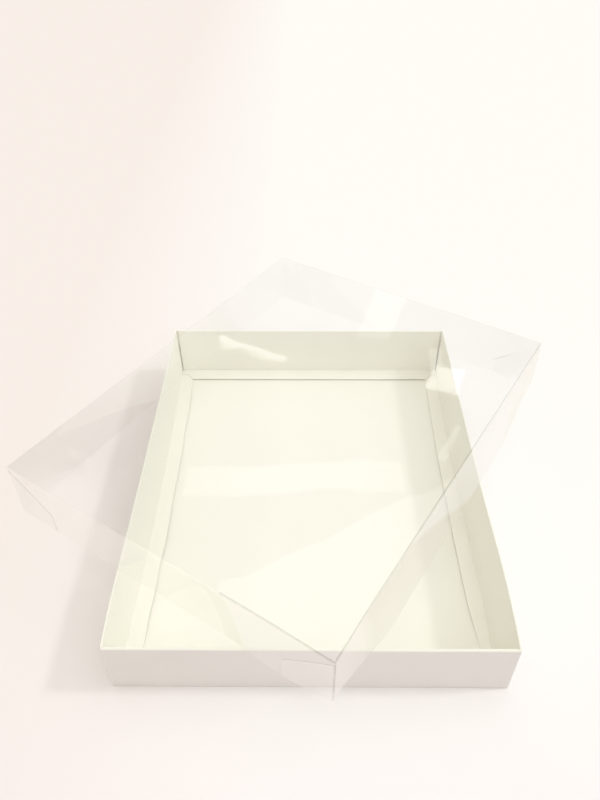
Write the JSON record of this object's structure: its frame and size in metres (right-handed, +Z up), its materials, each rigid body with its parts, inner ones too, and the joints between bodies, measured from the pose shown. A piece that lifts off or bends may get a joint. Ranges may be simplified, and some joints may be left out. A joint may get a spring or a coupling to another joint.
{
  "type": "gift box",
  "caption": "Flat rectangular box: a white folded card tray with rolled-over walls under a clear plastic lid that lies turned across its rim.",
  "frame": {"origin": "centre of the tray's underside", "axes": "+Y along the tray's length, towards the back of the picture; +X to its right; +Z up out of the tray"},
  "size_m": [0.3436, 0.3636, 0.079],
  "materials": {
    "white_card": "smooth white board, bare cut edges",
    "clear_sheet": "clear glossy sheet, creased and glued"
  },
  "bodies": {
    "tray": {"tray_floor": "white_card", "front_outer_wall": "white_card", "back_outer_wall": "white_card", "left_outer_wall": "white_card", "right_outer_wall": "white_card", "left_inner_wall": "white_card", "right_inner_wall": "white_card", "left_foot": "white_card", "right_foot": "white_card", "corner_tab_front_left": "white_card", "corner_tab_front_right": "white_card", "corner_tab_back_left": "white_card", "corner_tab_back_right": "white_card"},
    "front_rolled_wall": {"front_inner_wall": "white_card"},
    "front_turned_foot": {"front_foot": "white_card"},
    "back_rolled_wall": {"back_inner_wall": "white_card"},
    "back_turned_foot": {"back_foot": "white_card"},
    "lid": {"lid_top_panel": "clear_sheet", "lid_front_wall": "clear_sheet", "lid_back_wall": "clear_sheet", "lid_left_wall": "clear_sheet", "lid_right_wall": "clear_sheet", "lid_tab_front_left": "clear_sheet", "lid_tab_front_right": "clear_sheet", "lid_tab_back_left": "clear_sheet", "lid_tab_back_right": "clear_sheet"}
  },
  "joints": [
    {"name": "lid_lift", "type": "slide", "parent": "tray", "child": "lid", "axis": [0, 0, 1], "range_m": [0, 0.12]},
    {"name": "front_rim_crease", "type": "hinge", "parent": "tray", "child": "front_rolled_wall", "pos_m": [0, -0.1414, 0.0395], "axis": [1, 0, 0], "range_deg": [0, 65]},
    {"name": "front_foot_crease", "type": "hinge", "parent": "front_rolled_wall", "child": "front_turned_foot", "pos_m": [0, -0.1383, 0.0015], "axis": [1, 0, 0], "range_deg": [0, 85]},
    {"name": "back_rim_crease", "type": "hinge", "parent": "tray", "child": "back_rolled_wall", "pos_m": [0, 0.1414, 0.0395], "axis": [-1, 0, 0], "range_deg": [0, 65]},
    {"name": "back_foot_crease", "type": "hinge", "parent": "back_rolled_wall", "child": "back_turned_foot", "pos_m": [0, 0.1383, 0.0015], "axis": [-1, 0, 0], "range_deg": [0, 85]}
  ]
}
